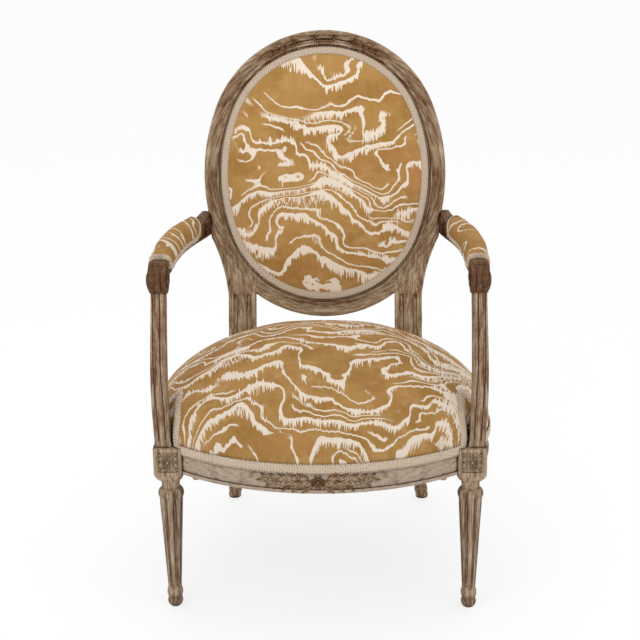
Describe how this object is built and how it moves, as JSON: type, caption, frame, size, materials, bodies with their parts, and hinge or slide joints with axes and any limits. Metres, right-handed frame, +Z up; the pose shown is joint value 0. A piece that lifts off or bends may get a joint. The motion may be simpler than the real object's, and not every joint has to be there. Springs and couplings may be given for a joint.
{
  "type": "open armchair",
  "caption": "Low open armchair with a carved and painted wood frame, turned fluted legs, an upholstered oval back, a domed sprung seat and padded arms.",
  "frame": {"origin": "on the floor under the middle of the chair's box", "axes": "+X to the right as seen from the front, +Y from the front to the back, +Z up"},
  "size_m": [0.622, 0.679, 0.9982],
  "materials": {
    "painted_wood": "worn matt paint",
    "bare_wood": "bare",
    "cover_fabric": "woven",
    "plain_fabric": "woven",
    "braid": "braided",
    "stuffing": "wadding",
    "jute": "coarse weave",
    "canvas": "coarse weave",
    "lining": "thin weave",
    "steel": "plain",
    "tacks": "blued"
  },
  "bodies": {
    "root": {"arm_dowels": "bare_wood", "arm_pad_cover_left": "cover_fabric", "arm_pad_cover_right": "cover_fabric", "arm_pad_gimp_left": "braid", "arm_pad_gimp_right": "braid", "arm_pad_stuffing_left": "stuffing", "arm_pad_stuffing_right": "stuffing", "arm_rail_left": "painted_wood", "arm_rail_right": "painted_wood", "arm_support_left": "painted_wood", "arm_support_right": "painted_wood", "back_bottom_rail": "painted_wood", "back_canvas": "canvas", "back_cover": "cover_fabric", "back_cover_tacks": "tacks", "back_frame_dowels": "bare_wood", "back_gimp": "braid", "back_stuffing": "stuffing", "back_webbing": "jute", "bottom_lining": "lining", "brace_screws": "steel", "corner_brace_front_left": "bare_wood", "corner_brace_front_right": "bare_wood", "corner_brace_rear_left": "bare_wood", "corner_brace_rear_right": "bare_wood", "crest_rail": "painted_wood", "front_leg_left": "painted_wood", "front_leg_right": "painted_wood", "front_rail": "painted_wood", "lining_tacks": "tacks", "outside_back_cover": "plain_fabric", "outside_back_gimp": "braid", "rear_leg_left": "painted_wood", "rear_leg_right": "painted_wood", "rear_rail": "painted_wood", "seat_canvas": "canvas", "seat_cover": "cover_fabric", "seat_cover_tacks": "tacks", "seat_frame_pegs": "bare_wood", "seat_gimp": "braid", "seat_springs": "steel", "seat_stuffing": "stuffing", "seat_webbing": "jute", "side_rail_left": "painted_wood", "side_rail_right": "painted_wood", "webbing_tacks": "tacks"}
  },
  "joints": []
}
